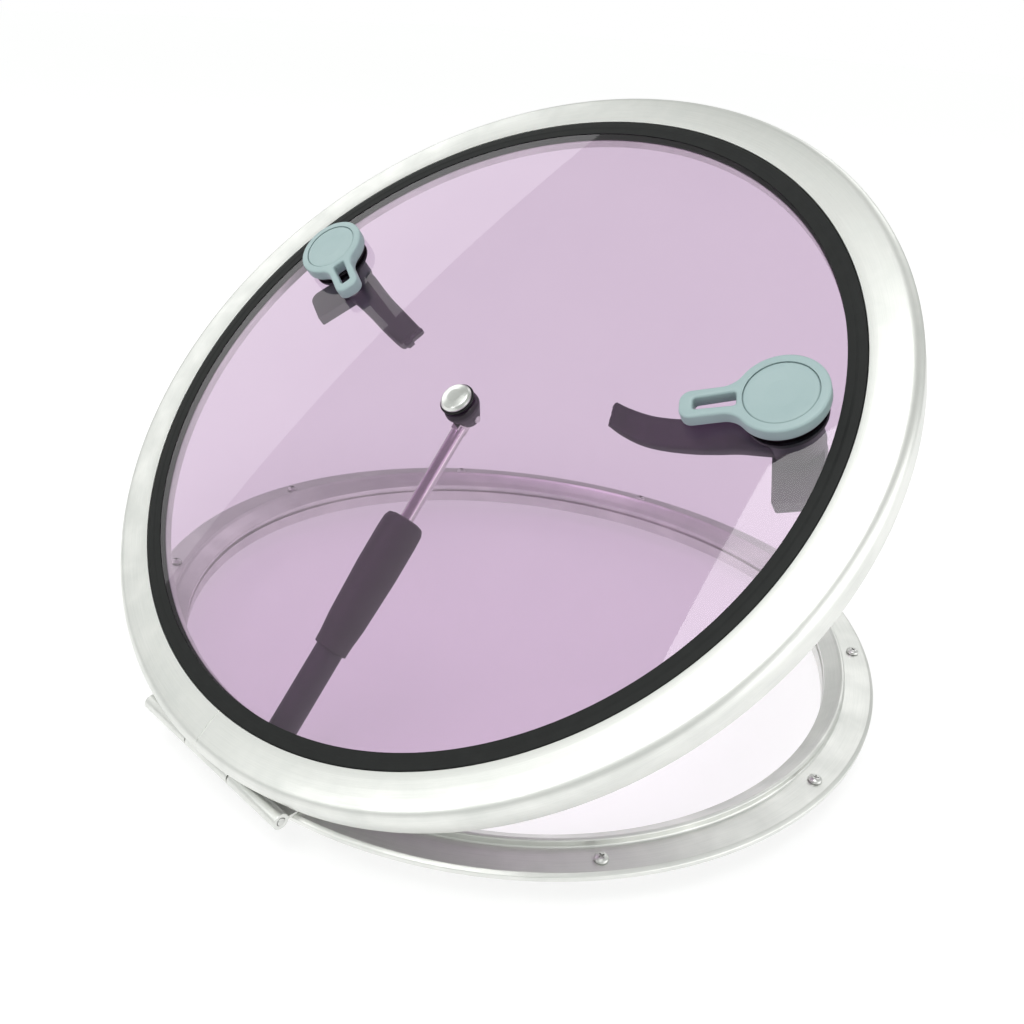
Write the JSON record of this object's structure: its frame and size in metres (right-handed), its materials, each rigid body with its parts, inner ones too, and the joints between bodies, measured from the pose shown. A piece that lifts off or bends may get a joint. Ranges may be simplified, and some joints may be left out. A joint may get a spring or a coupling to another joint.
{
  "type": "deck hatch",
  "caption": "Round deck hatch with a flanged base ring, a glazed lid on a barrel hinge, turning handles with latch dogs, and a telescopic stay that holds the lid open.",
  "frame": {"origin": "centre of the base ring on the plane where its flange lies on the deck", "axes": "+Z out of the deck, the hinge's axis parallel to Y on the -X side, +X from the hinge across the opening; at rest the lid stands 39.3 degrees open"},
  "size_m": [0.5694, 0.56, 0.3969],
  "materials": {
    "anodised_frame": "satin clear anodised",
    "tinted_pane": "clear tinted acrylic, polished",
    "seal_rubber": "extruded black rubber",
    "bedding_rubber": "black bedding strip, matte",
    "handle_plastic": "moulded, fine satin",
    "dark_plastic": "moulded, glass filled, matte",
    "grip_rubber": "soft moulded grip, matte",
    "bush_plastic": "natural nylon",
    "polished_steel": "polished stainless rod",
    "stainless_steel": "stainless steel"
  },
  "bodies": {
    "base": {"base_frame": "anodised_frame", "deck_screw_01": "stainless_steel", "deck_screw_02": "stainless_steel", "deck_screw_03": "stainless_steel", "deck_screw_04": "stainless_steel", "deck_screw_05": "stainless_steel", "deck_screw_06": "stainless_steel", "deck_screw_07": "stainless_steel", "deck_screw_08": "stainless_steel", "deck_screw_09": "stainless_steel", "deck_screw_10": "stainless_steel", "hinge_base_leaf": "anodised_frame", "hinge_pin": "stainless_steel", "hinge_screw_1": "stainless_steel", "hinge_screw_2": "stainless_steel", "stay_bracket": "stainless_steel", "bracket_screw_1": "stainless_steel", "bracket_screw_2": "stainless_steel"},
    "lid": {"lid_frame": "anodised_frame", "pane": "tinted_pane", "pane_seal": "seal_rubber", "pane_bedding": "bedding_rubber", "lid_gasket": "seal_rubber", "hinge_lid_leaf": "anodised_frame", "stay_cap": "stainless_steel", "stay_washer": "seal_rubber", "stay_fork": "dark_plastic", "stay_upper_pin": "stainless_steel", "handle_seal_left": "seal_rubber", "spindle_pad_left": "bedding_rubber", "handle_seal_right": "seal_rubber", "spindle_pad_right": "bedding_rubber"},
    "handle_left_turn": {"handle_left": "handle_plastic", "handle_cap_left": "handle_plastic", "spindle_left": "stainless_steel", "inner_lever_left": "dark_plastic", "latch_dog_left": "dark_plastic", "spindle_screw_left": "stainless_steel"},
    "handle_right_turn": {"handle_right": "handle_plastic", "handle_cap_right": "handle_plastic", "spindle_right": "stainless_steel", "inner_lever_right": "dark_plastic", "latch_dog_right": "dark_plastic", "spindle_screw_right": "stainless_steel"},
    "rod": {"stay_rod": "polished_steel", "stay_piston": "bush_plastic"},
    "tube": {"stay_tube": "dark_plastic", "stay_guide_bush": "bush_plastic", "stay_grip": "grip_rubber", "stay_lower_eye": "dark_plastic", "stay_lower_pin": "stainless_steel"}
  },
  "joints": [
    {"name": "lid_hinge", "type": "hinge", "parent": "base", "child": "lid", "pos_m": [-0.279, 0, 0.0062], "axis": [0, -1, 0], "range_deg": [-39.3, 30.7]},
    {"name": "handle_left", "type": "hinge", "parent": "lid", "child": "handle_left_turn", "pos_m": [-0.01541, 0.19714, 0.23978], "axis": [-0.6334, 0, 0.7738], "range_deg": [-80, 10]},
    {"name": "handle_right", "type": "hinge", "parent": "lid", "child": "handle_right_turn", "pos_m": [-0.01541, -0.19714, 0.23978], "axis": [-0.6334, 0, 0.7738], "range_deg": [-10, 80]},
    {"name": "stay_swing", "type": "hinge", "parent": "lid", "child": "rod", "pos_m": [-0.06234, 0, 0.18199], "axis": [0, -1, 0], "range_deg": [-5, 3]},
    {"name": "stay_slide", "type": "slide", "parent": "rod", "child": "tube", "axis": [-0.6567, 0, -0.7541], "range_m": [-0.03, 0.027]}
  ],
  "couplings": [
    {"joint": "stay_swing", "follows": "lid_hinge", "ratio": 0.067},
    {"joint": "stay_slide", "follows": "lid_hinge", "m_per_rad": 0.0426}
  ]
}
